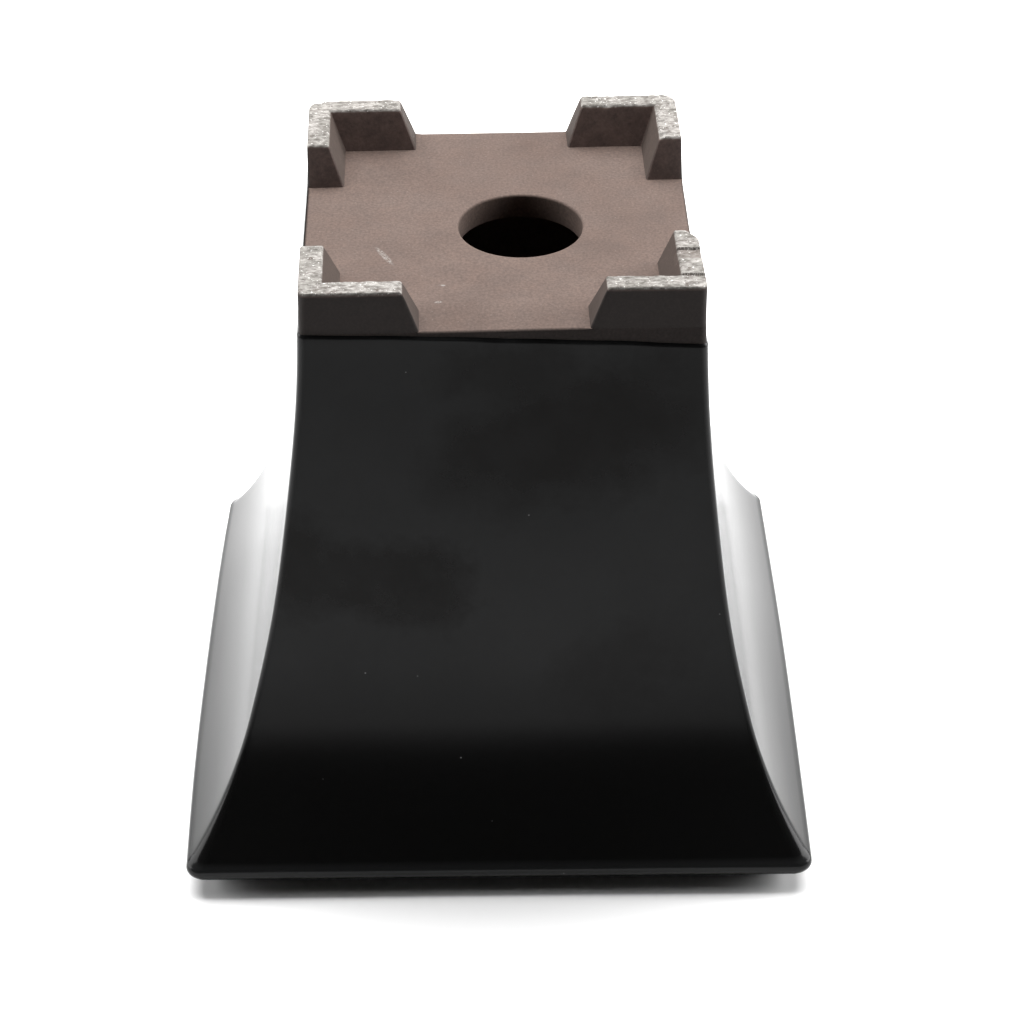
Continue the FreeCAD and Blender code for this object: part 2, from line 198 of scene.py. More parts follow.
def grid_faces(rows, columns, wrap_rows=False, wrap_columns=False):
    """Four-sided faces of a grid of points, joined round on itself where asked."""
    row = np.arange(rows if wrap_rows else rows - 1)[:, None]
    column = np.arange(columns if wrap_columns else columns - 1)[None, :]
    next_row = (row + 1) % rows
    next_column = (column + 1) % columns
    corners = [row * columns + column, row * columns + next_column,
               next_row * columns + next_column, next_row * columns + column]
    full = [np.broadcast_to(corner, corners[2].shape) for corner in corners]
    return np.stack(full, -1).reshape(-1, 4)


def outward(points, faces, caps):
    """The faces and flat caps turned, if need be, so that the volume they enclose is positive."""
    a, b, c, d = (points[faces[:, corner]] for corner in range(4))
    volume = np.einsum("ij,ij->", a, np.cross(b, c)) + np.einsum("ij,ij->", a, np.cross(c, d))
    for cap in caps:
        ring = points[cap]
        volume += (np.cross(ring[1:-1], ring[2:]) @ ring[0]).sum()
    turn = 1 if volume > 0 else -1
    return faces[:, ::turn].tolist() + [cap[::turn].tolist() for cap in caps]


def clay_piece(name, points, faces, finish, caps=(), crease=40.0, marks=None):
    """Make a piece from its points and faces, ride it on the pot and let it stand for its CAD node."""
    points = points.reshape(-1, 3)
    mesh = bpy.data.meshes.new(name)
    mesh.from_pydata(points.tolist(), [], outward(points, faces, caps))
    for mark, values in (marks or {}).items():
        mesh.attributes.new(mark, "FLOAT", "POINT").data.foreach_set(
            "value", np.asarray(values, np.float32).ravel())
    mesh.materials.append(finish)
    mesh.shade_smooth()
    mesh.set_sharp_from_angle(angle=math.radians(crease))
    piece = bpy.data.objects.new(name + "_look", mesh)
    bpy.context.scene.collection.objects.link(piece)
    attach(piece, "root")
    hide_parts(name)


class Finish:
    """A procedural material: its surface shader, its nodes, and patterns on Object coordinates."""

    def __init__(self, name, **settings):
        self.material = bpy.data.materials.new(name)
        self.material.use_nodes = True
        self.tree = self.material.node_tree
        self.shader = self.tree.nodes["Principled BSDF"]
        for socket, value in settings.items():
            self.shader.inputs[socket.replace("_", " ")].default_value = value
        self.place = self.tree.nodes.new("ShaderNodeTexCoord").outputs["Object"]

    def add(self, kind, joins=(), **settings):
        """A node with some of its properties and inputs set, and some inputs joined to outputs."""
        node = self.tree.nodes.new(kind)
        for key, value in settings.items():
            if hasattr(node, key):
                setattr(node, key, value)
            else:
                node.inputs[key.replace("_", " ")].default_value = value
        for socket, output in joins:
            self.tree.links.new(output, node.inputs[socket])
        return node

    def join(self, output, socket):
        self.tree.links.new(output, self.shader.inputs[socket])

    def noise(self, scale, detail=4.0, rough=0.6):
        return self.add("ShaderNodeTexNoise", [("Vector", self.place)],
                        Scale=scale, Detail=detail, Roughness=rough).outputs["Fac"]

    def ramp(self, factor, low, high, start=(0, 0, 0, 1), end=(1, 1, 1, 1)):
        """A colour ramp from start to end between two values of a pattern."""
        node = self.add("ShaderNodeValToRGB", [("Fac", factor)])
        first, last = node.color_ramp.elements
        first.position, last.position = low, high
        first.color, last.color = start, end
        return node.outputs["Color"]

    def mix(self, factor, first, second, blend="MIX"):
        """Two colours mixed; each input is an output to join or a plain value."""
        node = self.add("ShaderNodeMix", data_type="RGBA", blend_type=blend)
        for socket, value in zip((node.inputs[0], node.inputs[6], node.inputs[7]),
                                 (factor, first, second)):
            if isinstance(value, bpy.types.NodeSocket):
                self.tree.links.new(value, socket)
            else:
                socket.default_value = value
        return node.outputs[2]

    def spot(self, middle, reach, turn=(0, 0, 0), vector=None, full=0.45):
        """A soft oval mark in metres and degrees: 0 at its edge, 1 from the full share inwards."""
        moved = self.add("ShaderNodeMapping", [("Vector", vector or self.place)], vector_type="TEXTURE")
        moved.inputs["Location"].default_value = middle
        moved.inputs["Rotation"].default_value = np.radians(turn)
        moved.inputs["Scale"].default_value = reach
        ball = self.add("ShaderNodeTexGradient", [("Vector", moved.outputs["Vector"])],
                        gradient_type="SPHERICAL")
        return self.ramp(ball.outputs["Fac"], 0.0, full)

    def bump(self, height, strength, distance):
        """Fine relief from a pattern, in metres."""
        node = self.add("ShaderNodeBump", [("Height", height)], Strength=strength, Distance=distance)
        if self.shader.inputs["Normal"].is_linked:
            before = self.shader.inputs["Normal"].links[0].from_socket
            self.tree.links.new(before, node.inputs["Normal"])
        self.join(node.outputs["Normal"], "Normal")


def bare_clay():
    """Unglazed fired clay: sandy grain, faint blotches where the sponge passed, pale grog specks.

    An attribute marks the outer clay painted darker, partly staining and partly painted shade.
    """
    clay = Finish("bare_clay", Roughness=0.86, Specular_IOR_Level=0.25)
    blotch = clay.ramp(clay.noise(60, 4), 0.30, 0.72,
                       (0.087, 0.061, 0.0505, 1), (0.109, 0.079, 0.0665, 1))
    patch = clay.ramp(clay.noise(170, 3), 0.34, 0.66, (0.96, 0.97, 0.98, 1), (1.04, 1.02, 1.01, 1))
    grain = clay.ramp(clay.noise(1900, 4), 0.30, 0.70, (0.76, 0.76, 0.77, 1), (1.22, 1.21, 1.20, 1))
    colour = clay.mix(1.0, clay.mix(1.0, blotch, patch, "MULTIPLY"), grain, "MULTIPLY")
    specks = clay.add("ShaderNodeTexVoronoi", [("Vector", clay.place)], Scale=620).outputs["Distance"]
    grog = clay.ramp(specks, 0.05, 0.11, (1, 1, 1, 1), (0, 0, 0, 1))
    grog_share = clay.mix(grog, (0, 0, 0, 1), (0.35, 0.35, 0.35, 1))
    colour = clay.mix(grog_share, colour, (0.20, 0.165, 0.145, 1))
    # outer clay painted darker: partly staining, partly painted shade
    stain_and_shade = clay.add("ShaderNodeAttribute", attribute_name="stain_and_shade").outputs["Fac"]
    colour = clay.mix(stain_and_shade, colour, clay.mix(1.0, stain_and_shade_colour, grain, "MULTIPLY"))
    scratch = clay.spot((-0.0213, -0.0109, floor_face), (0.0042, 0.0007, 0.003), (0, 0, -63))
    near_fleck = clay.spot((-0.0109, -0.0279, floor_face), (0.0009, 0.0005, 0.003), (0, 0, 20))
    far_fleck = clay.spot((-0.0102, -0.0220, floor_face), (0.0008, 0.0004, 0.003))
    chip = clay.spot((0.0028, 0.0105, floor_face - 0.0034), (0.0013, 0.0012, 0.0011))
    marks = clay.mix(1.0, scratch, clay.mix(1.0, near_fleck, far_fleck, "ADD"), "ADD")
    marks = clay.mix(1.0, marks, chip, "ADD")
    worn = clay.mix(clay.ramp(clay.noise(2600, 2), 0.42, 0.58), (0, 0, 0, 1), marks)
    colour = clay.mix(worn, colour, (0.205, 0.185, 0.17, 1))
    clay.join(colour, "Base Color")
    clay.bump(clay.noise(1500, 4), 0.4, 0.00005)
    clay.bump(clay.noise(210, 3), 0.3, 0.00010)
    return clay.material


clay_finish = bare_clay()


def floor_slab():
    """Square-to-round rings carried round the slab's section, so the hole goes right through.

    The section goes up the outer edge, over its rubbed corner, across the face to the hole, round
    the hole's edge, down the hole and back along the inside face.
    """
    hole = np.array([0.0046, -0.0007])
    oval = np.array([1.015, 0.99])      # the hole was cut by hand, a little wider than it is deep
    hole_radius, hole_edge, rub = 0.012, 0.0005, 0.0007
    rubbed_within, rubbed_fade = 0.0165, 0.0015     # the stretch between the feet, from its middle
    quarter = np.linspace(0, math.pi / 2, 9)
    up = np.linspace(floor_inside, floor_face - rub, 8)
    edge_heights = np.concatenate([up, floor_face - rub + rub * np.sin(quarter[1:])])
    edge_inset = np.concatenate([np.zeros(8), rub * (1 - np.cos(quarter[1:]))])
    square = face_half(edge_heights)
    edge = ring_points(square, corner_radius(edge_heights), edge_heights)
    # between the feet the corner is rubbed round; under a foot it stays square to meet the foot
    sideways = np.minimum(np.abs(edge[..., 0]), np.abs(edge[..., 1]))
    open_edge = np.clip((rubbed_within - sideways) / rubbed_fade, 0.0, 1.0)[..., None]
    rubbed = edge.copy()
    rubbed[..., :2] *= 1 - (edge_inset / square)[:, None, None]
    square_edge = edge.copy()
    square_edge[8:, :, 2] = floor_face
    edge = square_edge + (rubbed - square_edge) * open_edge
    rim = edge[-1]
    angle = np.arctan2(rim[:, 1] - hole[1], rim[:, 0] - hole[0])
    circle = oval * np.stack([np.cos(angle), np.sin(angle)], -1)
    share = np.linspace(0, 1, 34)[1:, None, None]
    mouth = np.concatenate([hole + circle * (hole_radius + hole_edge),
                            np.full((len(rim), 1), floor_face)], -1)
    face = rim + (mouth - rim) * share
    lip_radius = hole_radius + hole_edge * (1 - np.sin(quarter[1:]))
    lip_height = floor_face - hole_edge * (1 - np.cos(quarter[1:]))
    bore_height = np.linspace(floor_face - hole_edge, floor_inside, 7)[1:]
    radii = np.concatenate([lip_radius, np.full(6, hole_radius)])
    heights = np.concatenate([lip_height, bore_height])
    bore = np.concatenate([hole + circle * radii[:, None, None],
                           np.broadcast_to(heights[:, None, None], (len(radii), len(rim), 1))], -1)
    under = bore[-1] + (edge[0] - bore[-1]) * np.linspace(0, 1, 8)[1:-1, None, None]
    points = hand(np.concatenate([edge, face, bore, under]))
    # the slab's outer edge is painted darker: partly staining, partly painted shade
    stain_and_shade = np.zeros(points.shape[:2])
    stain_and_shade[:len(edge)] = np.clip(1 - edge_inset / (0.8 * rub), 0, 1)[:, None]
    faces = grid_faces(*points.shape[:2], wrap_rows=True, wrap_columns=True)
    clay_piece("floor_slab", points, faces, clay_finish, marks={"stain_and_shade": stain_and_shade})


floor_slab()


# ---------------------------------------------------------------------------------------------
# The four walls. Slabs of the same clay bent to the flare over a former, mitred at the corners and
# luted to the floor's edge; each thickens towards the lip and stands on a narrow level land.

wall_thickness = 0.0055
bead_radius = 0.0019
bead_blend = 0.0015             # the outside's flare gives way to the bead this far above its middle
underside_slope = math.radians(38)
land_width = 0.0014
mitre_corner = 0.00002          # the soil cavity's corners are sharp until a coil fills them


def lip_section(out=0.0, steps=9):
    """Bead and underside of the lip as (half, height), down to the ground, moved out by a skin."""
    join = math.asin((pot_top - flare_change) / long_radius)
    reach = long_radius - short_radius
    short_centre = foot_square + long_radius - reach * math.cos(join)
    short_height = pot_top - reach * math.sin(join)
    to_bead = short_radius + bead_radius
    lip = math.asin((short_height - bead_height) / to_bead)
    centre = short_centre - to_bead * math.cos(lip)
    turn = np.linspace(lip, underside_slope - math.pi / 2, steps)
    radius = bead_radius + out
    bead = np.stack([centre + radius * np.cos(turn), bead_height + radius * np.sin(turn)], -1)
    ground = bead[-1] - np.array([1 / math.tan(underside_slope), 1.0]) * bead[-1, 1]
    underside = bead[-1] + (ground - bead[-1]) * np.linspace(0, 1, steps)[1:, None]
    return np.concatenate([bead, underside])


def inside_half(z):
    """Half-width of the soil cavity: the long arc a wall's thickness in, then a flatter tangent arc."""
    radius = long_radius + wall_thickness
    centre = foot_square + long_radius
    join = math.asin((pot_top - flare_change) / radius)
    knee = np.array([centre - radius * math.cos(join), flare_change])
    ground = np.array([lip_section()[-1, 0] - land_width, 0.0])
    outwards = np.array([math.cos(join), math.sin(join)])
    chord = ground - knee
    low_radius = chord @ chord / (2 * chord @ outwards)
    low_centre = knee + outwards * low_radius
    high = centre - np.sqrt(radius ** 2 - (pot_top - z) ** 2)
    low = low_centre[0] - np.sqrt(low_radius ** 2 - np.minimum(low_centre[1] - z, low_radius) ** 2)
    return np.where(z > flare_change, high, low)


def wall_section():
    """The wall's closed outline: half-widths, heights, corner roundings and where its outside is
    painted darker, partly staining and partly painted shade.
    """
    down = np.linspace(floor_inside, bead_height + bead_blend, 56)
    lip = lip_section()
    up = np.linspace(0.0, floor_inside, 48)
    half = np.concatenate([face_half(down), lip[:, 0], inside_half(up)])
    height = np.concatenate([down, lip[:, 1], up])
    corner = np.concatenate([corner_radius(down), corner_radius(lip[:, 1]),
                             np.full(len(up), mitre_corner)])
    stained_and_shaded = np.concatenate([np.ones(len(down)), np.zeros(len(lip) + len(up))])
    return half, height, corner, stained_and_shaded


def walls():
    """The section carried from mitre to mitre, turned a quarter for each side, closed at the mitres."""
    half, height, corner, stained_and_shaded = wall_section()
    outwards, along_side = side_points(half, corner, along=40, bend=6)
    stations, across = outwards.shape
    faces = grid_faces(stations, across, wrap_rows=True)
    first = np.arange(stations) * across
    last = first + across - 1
    for quarter, side in enumerate(("back", "left", "front", "right")):
        angle = math.pi / 2 * (quarter + 1)
        points = np.stack([outwards * math.cos(angle) - along_side * math.sin(angle),
                           outwards * math.sin(angle) + along_side * math.cos(angle),
                           np.broadcast_to(height[:, None], outwards.shape)], -1)
        # the wall's outside below the bead is painted darker: partly staining, partly painted shade
        stain_and_shade = np.broadcast_to(stained_and_shaded[:, None], outwards.shape)
        clay_piece(f"wall_{side}", hand(points), faces, clay_finish,
                   caps=[first, last[::-1]], marks={"stain_and_shade": stain_and_shade})


walls()


# ---------------------------------------------------------------------------------------------
# The inside coils. Thin rolls of soft clay pressed into the four upright corners and round the
# floor's seam with a thumb, so each inside seam ends as a smooth hollow.

corner_coil = 0.006
floor_coil_size = 0.004
coil_gap = 0.0002               # the corner coils stop this far above the ground


def hollow(radius, steps=9):
    """A coil's outline from the seam: two straight legs and a hollow quarter circle between them."""
    turn = np.linspace(0, math.pi / 2, steps)
    arc = radius * np.stack([1 - np.sin(turn), 1 - np.cos(turn)], -1)
    return np.concatenate([[[0.0, 0.0]], arc])


def corner_coils():
    """The coil's outline carried down each inside corner, set in from the cavity's two faces."""
    height = np.linspace(coil_gap, floor_inside, 60)
    half = inside_half(height)
    outline = hollow(corner_coil)
    faces = grid_faces(len(height), len(outline), wrap_columns=True)
    ring = np.arange(len(outline))
    caps = [ring[::-1], (len(height) - 1) * len(outline) + ring]
    for quarter, corner in enumerate(("back_right", "back_left", "front_left", "front_right")):
        angle = math.pi / 2 * quarter
        x = half[:, None] - outline[None, :, 0]
        y = half[:, None] - outline[None, :, 1]
        points = np.stack([x * math.cos(angle) - y * math.sin(angle),
                           x * math.sin(angle) + y * math.cos(angle),
                           np.broadcast_to(height[:, None], x.shape)], -1)
        clay_piece(f"corner_coil_{corner}", hand(points), faces, clay_finish, caps=caps)


def floor_coil():
    """The coil's outline carried round the floor's seam, inside the corner coils."""
    outline = hollow(floor_coil_size)
    height = floor_inside - outline[:, 1]
    half = inside_half(height) - outline[:, 0]
    corner = np.maximum(corner_coil - outline[:, 0], 0.001)
    points = hand(ring_points(half, corner, height, along=30, bend=8))
    faces = grid_faces(*points.shape[:2], wrap_rows=True, wrap_columns=True)
    clay_piece("floor_coil", points, faces, clay_finish)


corner_coils()
floor_coil()


# ---------------------------------------------------------------------------------------------
# The feet. An L of clay luted on at each corner, cut square outside and sloping inside, then ground
# level on a wet stone when fired, which left their ends pale, glittering and chipped.

foot_base_arm, foot_end_arm = 0.0218, 0.0186
foot_base_thick, foot_end_thick = 0.0073, 0.0043
foot_edge = 0.0006
worn_reach = 0.0036             # a worn end is rubbed away over this much of its arm
rough_depth, chip_depth = 0.00005, 0.0005


def foot_finish():
    """Clay painted darker outside, partly staining and partly painted shade, with painted shade on the
    faces turned left and right, and scraped silvery where the stone ground it.
    """
    clay = Finish("foot_clay", Roughness=0.8, Specular_IOR_Level=0.3)
    blotch = clay.ramp(clay.noise(60, 4), 0.30, 0.72,
                       (0.118, 0.082, 0.073, 1), (0.142, 0.101, 0.089, 1))
    stain_and_shade = clay.add("ShaderNodeAttribute", attribute_name="stain_and_shade").outputs["Fac"]
    smear = clay.ramp(clay.noise(420, 4, 0.7), 0.36, 0.66, (0.74, 0.74, 0.74, 1), (1.10, 1.08, 1.06, 1))
    colour = clay.mix(1.0, blotch, smear, "MULTIPLY")
    # painted shade: the feet's faces turned to the left and right are mixed towards a dark brown
    normal = clay.add("ShaderNodeNewGeometry").outputs["Normal"]
    facing = clay.add("ShaderNodeSeparateXYZ", [("Vector", normal)])
    sideways = clay.add("ShaderNodeMath", [(0, facing.outputs["X"])], operation="ABSOLUTE").outputs[0]
    colour = clay.mix(clay.ramp(sideways, 0.5, 0.9, (0, 0, 0, 1), (0.80, 0.80, 0.80, 1)), colour,
                      (0.045, 0.033, 0.026, 1))
    # the feet's outer faces painted darker: partly staining, partly painted shade
    colour = clay.mix(stain_and_shade, colour, stain_and_shade_colour)
    grain = clay.ramp(clay.noise(1900, 3), 0.30, 0.72, (0.84, 0.84, 0.84, 1), (1.12, 1.12, 1.12, 1))
    colour = clay.mix(1.0, colour, grain, "MULTIPLY")
    ground = clay.add("ShaderNodeAttribute", attribute_name="ground").outputs["Fac"]
    stretched = clay.add("ShaderNodeMapping", [("Vector", clay.place)]).outputs["Vector"]
    stretched.node.inputs["Scale"].default_value = (0.45, 1, 1)
    scrape = clay.add("ShaderNodeTexNoise", [("Vector", stretched)],
                      Scale=1500, Detail=4, Roughness=0.7).outputs["Fac"]
    scraped = clay.ramp(scrape, 0.37, 0.63, (0.100, 0.088, 0.079, 1), (0.315, 0.300, 0.282, 1))
    patch = clay.ramp(clay.noise(240, 3), 0.38, 0.62, (0.70, 0.70, 0.68, 1), (1.10, 1.10, 1.10, 1))
    scraped = clay.mix(1.0, scraped, patch, "MULTIPLY")
    torn = clay.ramp(clay.noise(520, 3), 0.60, 0.68)
    scraped = clay.mix(torn, scraped, (0.095, 0.080, 0.070, 1))
    glint = clay.ramp(clay.noise(1900, 2), 0.64, 0.70)
    scraped = clay.mix(glint, scraped, (0.58, 0.57, 0.55, 1))
    clay.join(clay.mix(ground, colour, scraped), "Base Color")
    clay.bump(clay.noise(1500, 4), 0.5, 0.00007)
    return clay.material


def steps_to(length, edge, middle):
    """Places along an edge from 0 to length: close together near each end, wider between."""
    fine = np.linspace(0, edge, 6)[:-1]
    between = np.linspace(edge, length - edge, middle)
    return np.concatenate([fine, between, length - fine[::-1]])


def block_surface(long, wide, tall):
    """Points and faces of a block's whole surface, from its steps along three edges, welded."""
    index = -np.ones((len(long), len(wide), len(tall)), int)
    skin = np.zeros(index.shape, bool)
    for axis in range(3):
        skin[(slice(None),) * axis + (0,)] = True
        skin[(slice(None),) * axis + (-1,)] = True
    index[skin] = np.arange(skin.sum())
    places = np.stack(np.meshgrid(long, wide, tall, indexing="ij"), -1)[skin]
    faces = []
    for axis in range(3):
        for end in (0, -1):
            sheet = np.take(index, end, axis=axis)
            quads = np.stack([sheet[:-1, :-1], sheet[1:, :-1], sheet[1:, 1:], sheet[:-1, 1:]], -1)
            quads = quads.reshape(-1, 4)
            facing_out = (axis == 1) == (end == 0)
            faces.append(quads if facing_out else quads[:, ::-1])
    return places, np.concatenate(faces)


def soften(places, length, width, height, radius):
    """Round every edge but the base's: what stands past an inner block goes from square to round.

    A place past the inner block by (a, b, c) keeps its direction and gets max(|a|, |b|, |c|) long.
    """
    top = np.array([length - radius, width - radius, height - radius])
    low = np.array([radius, radius, -1.0])
    inner = np.clip(places, low, top)
    past = places - inner
    reach = np.maximum(np.linalg.norm(past, axis=-1, keepdims=True), 1e-9)
    return inner + past * np.abs(past).max(-1, keepdims=True) / reach


def lumps(points, size, seed, waves=14):
    """A rough, seeded relief between about -1 and 1: a sum of waves in many directions."""
    chance = np.random.default_rng(seed)
    directions = chance.normal(size=(waves, 3)) * (2 * math.pi / size) * 0.6
    return np.sin(points @ directions.T + chance.uniform(0, 6.3, waves)).sum(-1) / math.sqrt(waves)


def foot(corner, quarter, seed, rounder, arms, notches=(), longer=0.0, worn_end=0.0):
    """A block bent round the corner: its length follows both arms, its width goes inwards.

    rounder is how much more than the pot its outside corner is rubbed away at the ground end;
    arms is what the first and second arm run on beyond the drawn length. Only on the first arm:
    notches are (start, end, depth), cuts across its ground end, placed from the pot's middle;
    longer is what its ground end runs on besides; worn_end is how far its end's outer corner is gone.
    """
    tall = pot_top - floor_face
    arm = foot_base_arm
    long = steps_to(2 * arm, foot_edge, 130)
    wide = steps_to(foot_base_thick, foot_edge, 22)
    places, faces = block_surface(long, wide, steps_to(tall, foot_edge, 20))
    places = soften(places, 2 * arm, foot_base_thick, tall, foot_edge)
    along = places[:, 0] / arm - 1
    inwards = places[:, 1] / foot_base_thick
    up = np.clip(places[:, 2] / tall, 0, 1)
    height = floor_face + places[:, 2]
    far = np.abs(along)
    thick = foot_base_thick + (foot_end_thick - foot_base_thick) * up
    first = along < 0
    reach = foot_base_arm + (foot_end_arm - foot_base_arm) * up
    reach = reach + np.where(first, arms[0] + longer * up, arms[1])
    outer = face_half(height)
    across = outer - thick * inwards
    down_arm = across + (outer - reach - across) * far
    # the layers at the ground end: rough and chipped, scraped pale, and as deep as a notch reaches
    from_end = tall - places[:, 2]
    near_top = np.clip((0.0009 - from_end) / 0.0007, 0, 1)
    ground = np.clip((0.00055 - from_end) / 0.0003, 0, 1)
    shave = np.clip((0.002 - from_end) / 0.0015, 0, 1)
    for start, end, depth in notches:
        inside = first & (down_arm > start) & (down_arm < end)
        height = height - np.where(inside, depth * shave, 0)
        ground = np.where(inside, 0.7 * ground, ground)
    gone = np.clip(1 - (down_arm - (outer - reach)) / worn_reach, 0, 1) ** 1.5
    gone = gone * (1 - inwards) * up ** 2
    across = across - np.where(first, worn_end * gone, 0)
    x = np.where(first, down_arm, across)
    y = np.where(first, across, down_arm)
    # the outside corner: a square patch of the plan is pulled to a quarter circle
    radius = corner_radius(height) + rounder * up
    from_x, from_y = x - (outer - radius), y - (outer - radius)
    at_corner = (from_x > 0) & (from_y > 0)
    longest = np.maximum(from_x, from_y)
    length = np.maximum(np.hypot(from_x, from_y), 1e-9)
    shrink = np.where(at_corner, longest / length, 1.0)
    x = np.where(at_corner, outer - radius + from_x * shrink, x)
    y = np.where(at_corner, outer - radius + from_y * shrink, y)
    angle = math.pi / 2 * quarter
    points = np.stack([x * math.cos(angle) - y * math.sin(angle),
                       x * math.sin(angle) + y * math.cos(angle), height], -1)
    rough = lumps(points, 0.0026, seed) + 0.5 * lumps(points, 0.0012, seed + 1)
    points[:, 2] += near_top * (rough_depth * rough - 0.00006)
    chipped = np.clip(lumps(points, 0.0050, seed + 2) - 1.1, 0, 1)
    points[:, 2] -= near_top * chipped * chip_depth
    # the outer face, and the two ends a little, are painted darker: partly staining, partly painted
    # shade
    outside = np.clip((0.08 - inwards) / 0.04, 0, 1)
    stain_and_shade = np.maximum(outside, np.where(far > 0.97, 0.2, 0)) * (1 - near_top)
    clay_piece(f"foot_{corner}", hand(points), faces, foot_clay,
               marks={"stain_and_shade": stain_and_shade, "ground": ground})


foot_clay = foot_finish()
foot("back_right", 0, 11, 0.0018, arms=(0.0006, -0.0007))
foot("back_left", 1, 23, 0.0022, arms=(0.0002, -0.0001))
foot("front_left", 2, 37, 0.0004, arms=(0.0004, -0.0009))
foot("front_right", 3, 41, 0.0, arms=(0.0005, -0.0005), longer=0.0016, worn_end=0.0024,
     notches=((0.0234, 0.0271, 0.00045), (0.0327, 0.0334, 0.0004)))


# ---------------------------------------------------------------------------------------------
# The glaze. One coat of glossy black over the outside and round the lip, dipped with the pot held a
# little askew, so its edge rises to the left and falls to the right of the feet.

glaze_thickness = 0.00035
glaze_lean = -0.058             # slope of the glaze's edge: it falls to the right
glaze_drop = 0.0022             # how far the edge is below the floor's face, on average
glaze_feather = 0.0006          # towards its edge the skin thins over this much of its height
thinnest = 0.12                 # the share of the thickness that is left at the edge
wave_fade = 0.02                # the waves of its edge die away over this much below it


def glaze_finish():
    """Near-black gloss with a faint bloom, wiped off where fingers left brownish smudges, and dust.

    The bloom gives way to near-black on the lower flare, painted darker there; along the lip's bead a
    thin grey band is a painted highlight, and under the bead the glaze is painted near-black as shade.
    """
    glaze = Finish("black_glaze", Specular_IOR_Level=0.14)
    ragged = glaze.add("ShaderNodeTexNoise", [("Vector", glaze.place)],
                       Scale=75, Detail=5, Roughness=0.65).outputs["Color"]
    ragged_share = 0.020
    wander = glaze.mix(ragged_share, glaze.place, ragged)
    marks = [((-0.0145, -0.050, 0.0615), (0.0135, 0.03, 0.0125), 0, 1.0),
             ((-0.0260, -0.050, 0.0640), (0.0180, 0.03, 0.0105), 0, 0.9),
             ((-0.0375, -0.050, 0.0670), (0.0105, 0.03, 0.0140), 0, 0.9),
             ((0.0150, -0.042, 0.0940), (0.0340, 0.03, 0.0175), -20, 1.0),
             ((0.0060, -0.042, 0.0890), (0.0210, 0.03, 0.0130), 0, 1.0),
             ((0.0030, -0.042, 0.1070), (0.0190, 0.03, 0.0090), 0, 0.7),
             ((0.0240, -0.055, 0.0440), (0.0200, 0.03, 0.0120), -30, 0.5)]
    # the noise averages a half, so mixing a share of it in moves every mark by half that share
    smudge = (0, 0, 0, 1)
    for middle, reach, tip, strength in marks:
        middle = [place + ragged_share / 2 for place in middle]
        mark = glaze.spot(middle, reach, (0, tip, 0), wander, full=0.5)
        smudge = glaze.mix(1.0, smudge, glaze.mix(strength, (0, 0, 0, 1), mark), "LIGHTEN")
    uneven = glaze.ramp(glaze.noise(140, 4), 0.36, 0.60, (0.72, 0.72, 0.72, 1), (1, 1, 1, 1))
    smudge = glaze.mix(1.0, smudge, uneven, "MULTIPLY")
    bloom = glaze.ramp(glaze.noise(30, 3), 0.35, 0.65,
                       (0.0096, 0.0098, 0.0100, 1), (0.0132, 0.0134, 0.0137, 1))
    tall = glaze.add("ShaderNodeSeparateXYZ", [("Vector", glaze.place)]).outputs["Z"]
    # painted light on the lip: near-black painted shade under the bead, a thin grey painted highlight
    # along the bead, then black above it
    lip = glaze.mix(glaze.ramp(tall, 0.0040, 0.0050),
                    (0.003, 0.003, 0.003, 1), (0.034, 0.035, 0.036, 1))
    lip = glaze.mix(glaze.ramp(tall, 0.0064, 0.0078), lip, (0.0040, 0.0040, 0.0040, 1))
    # painted shade: the grey bloom fades out below the middle, so the lower flare is painted near-black
    colour = glaze.mix(glaze.ramp(tall, 0.028, 0.046), lip, bloom)
    colour = glaze.mix(smudge, colour, (0.0010, 0.0003, 0.0, 1))
    dust = glaze.add("ShaderNodeTexVoronoi", [("Vector", glaze.place)], Scale=260)
    speck = glaze.ramp(dust.outputs["Distance"], 0.030, 0.055, (1, 1, 1, 1), (0, 0, 0, 1))
    some = glaze.ramp(glaze.noise(120, 2), 0.58, 0.62)
    glaze.join(glaze.mix(glaze.mix(1.0, speck, some, "MULTIPLY"), colour, (0.16, 0.16, 0.16, 1)),
               "Base Color")
    glaze.join(glaze.ramp(smudge, 0.0, 1.0, (0.19, 0.19, 0.19, 1), (0.26, 0.26, 0.26, 1)), "Roughness")
    glaze.bump(glaze.noise(70, 1), 0.08, 0.00005)
    return glaze.material


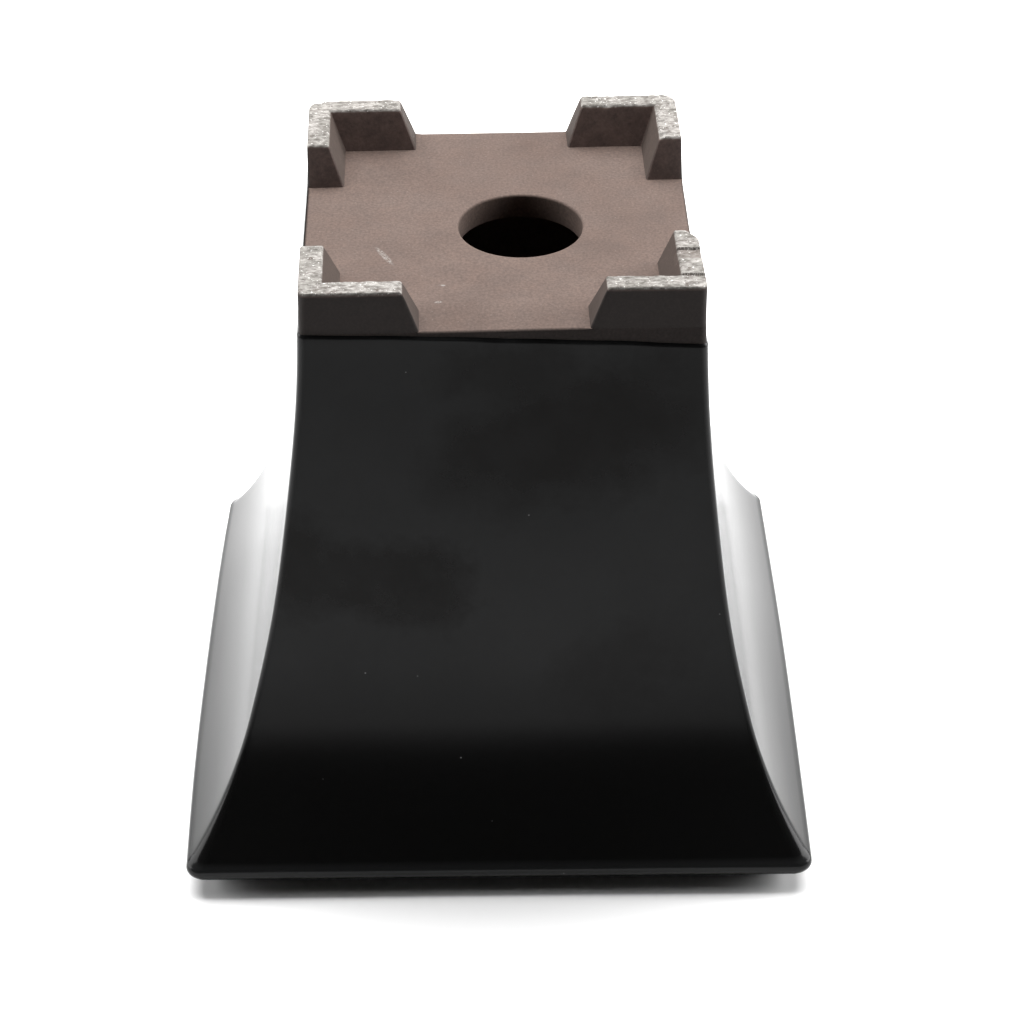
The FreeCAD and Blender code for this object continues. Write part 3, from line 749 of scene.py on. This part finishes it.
def glaze_coat():
    """The skin's section, out over the clay and back under itself, carried round the pot.

    Near its top edge the heights are shifted by the wavy glaze line and the skin thins to nothing.
    """
    edge = floor_face - glaze_drop
    # the rows lie closer together towards the edge, where the skin thins
    down = edge - (edge - bead_height - bead_blend) * np.linspace(0, 1, 120) ** 1.4
    thin = glaze_thickness * np.clip(thinnest + (edge - down) / glaze_feather, thinnest, 1.0)
    lip_out = lip_section(glaze_thickness, 11)
    lip_in = lip_section(0.0, 7)[::-1]
    back = down[::-4]
    height = np.concatenate([down, lip_out[:, 1], lip_in[:, 1], back])
    skin = np.concatenate([thin, np.zeros(len(lip_out) + len(lip_in) + len(back))])
    on_face = np.concatenate([np.ones(len(down), bool), np.zeros(len(lip_out) + len(lip_in), bool),
                              np.ones(len(back), bool)])
    lip_half = np.concatenate([np.zeros(len(down)), lip_out[:, 0], lip_in[:, 0], np.zeros(len(back))])
    corner = corner_radius(height) + skin
    plan = ring_points(np.where(on_face, face_half(height), lip_half), corner, height)
    x, y = plan[0, :, 0], plan[0, :, 1]
    wave = glaze_lean * x + 0.00012 * np.sin(140 * x + 60 * y) + 0.00005 * np.sin(430 * (x - y) + 1.0)
    follow = np.clip((height - (edge - wave_fade)) / wave_fade, 0, 1) ** 2 * on_face
    level = height[:, None] + follow[:, None] * wave
    half = np.where(on_face[:, None], face_half(level) + skin[:, None], lip_half[:, None])
    before = np.where(on_face, face_half(height), lip_half)[:, None]
    scale = 1 + (half - before) / np.abs(plan[..., :2]).max(-1)
    points = plan.copy()
    points[..., :2] *= scale[..., None]
    points[..., 2] = level
    points = hand(points)
    faces = grid_faces(*points.shape[:2], wrap_rows=True, wrap_columns=True)
    clay_piece("glaze_coat", points, faces, glaze_finish(), crease=60)


glaze_coat()


# ---------------------------------------------------------------------------------------------
# The studio. A pale table, a large soft light overhead and a little behind, one to each side, and
# nothing bright in front, so the front of the pot stays dark.

def stage_floor():
    """The table. The camera sees it plain and pale; to reflections and bounced light it darkens
    towards the front, as if a black card lay there."""
    mesh = bpy.data.meshes.new("studio_floor")
    reach = 2.5
    mesh.from_pydata([(-reach, -reach, 0), (reach, -reach, 0), (reach, reach, 0), (-reach, reach, 0)],
                     [], [(0, 1, 2, 3)])
    table = Finish("studio_floor", Roughness=0.9, Specular_IOR_Level=0.0)
    across = table.add("ShaderNodeSeparateXYZ", [("Vector", table.place)]).outputs["Y"]
    near = table.add("ShaderNodeMapRange", [("Value", across)], From_Min=-0.29, From_Max=-0.17)
    ahead = table.add("ShaderNodeMapRange", [("Value", across)], From_Min=-0.60, From_Max=-0.27)
    shade = table.mix(1.0, table.ramp(near.outputs["Result"], 0, 1, (0.42, 0.42, 0.42, 1)),
                      table.ramp(ahead.outputs["Result"], 0, 1, (0.1, 0.1, 0.1, 1)), "MULTIPLY")
    paper = table.ramp(table.noise(3, 2), 0.3, 0.7, (0.92, 0.92, 0.92, 1), (0.94, 0.94, 0.94, 1))
    seen = table.add("ShaderNodeLightPath").outputs["Is Camera Ray"]
    table.join(table.mix(seen, table.mix(1.0, shade, paper, "MULTIPLY"), paper), "Base Color")
    mesh.materials.append(table.material)
    floor = bpy.data.objects.new("studio_floor", mesh)
    bpy.context.scene.collection.objects.link(floor)


def soft_light(name, place, size, power):
    """A soft light that faces the middle of the pot."""
    lamp = bpy.data.lights.new(name, "AREA")
    lamp.shape = "RECTANGLE"
    lamp.size, lamp.size_y = size
    lamp.energy = power
    light = bpy.data.objects.new(name, lamp)
    light.location = place
    aim = Vector((0, 0, 0.06)) - Vector(place)
    light.rotation_euler = aim.to_track_quat("-Z", "Y").to_euler()
    bpy.context.scene.collection.objects.link(light)


def studio():
    """The table, the three lights and the room."""
    stage_floor()
    soft_light("overhead", (0.0, 0.44, 0.95), (1.5, 0.85), 36)
    soft_light("left", (-1.2, 0.25, 0.45), (0.9, 0.8), 12.5)
    soft_light("right", (1.2, 0.25, 0.45), (0.9, 0.8), 20.5)
    world = bpy.data.worlds.new("studio")
    world.use_nodes = True
    tree = world.node_tree
    dim = tree.nodes["Background"]
    dim.inputs["Color"].default_value = (0.012, 0.012, 0.012, 1)
    pale = tree.nodes.new("ShaderNodeBackground")
    pale.inputs["Color"].default_value = (0.9, 0.9, 0.9, 1)
    either = tree.nodes.new("ShaderNodeMixShader")
    # only the camera sees the pale backdrop, so the room itself stays dim
    tree.links.new(tree.nodes.new("ShaderNodeLightPath").outputs["Is Camera Ray"], either.inputs[0])
    tree.links.new(dim.outputs[0], either.inputs[1])
    tree.links.new(pale.outputs[0], either.inputs[2])
    tree.links.new(either.outputs[0], tree.nodes["World Output"].inputs["Surface"])
    bpy.context.scene.world = world
    bpy.context.scene.view_settings.view_transform = "Standard"


studio()
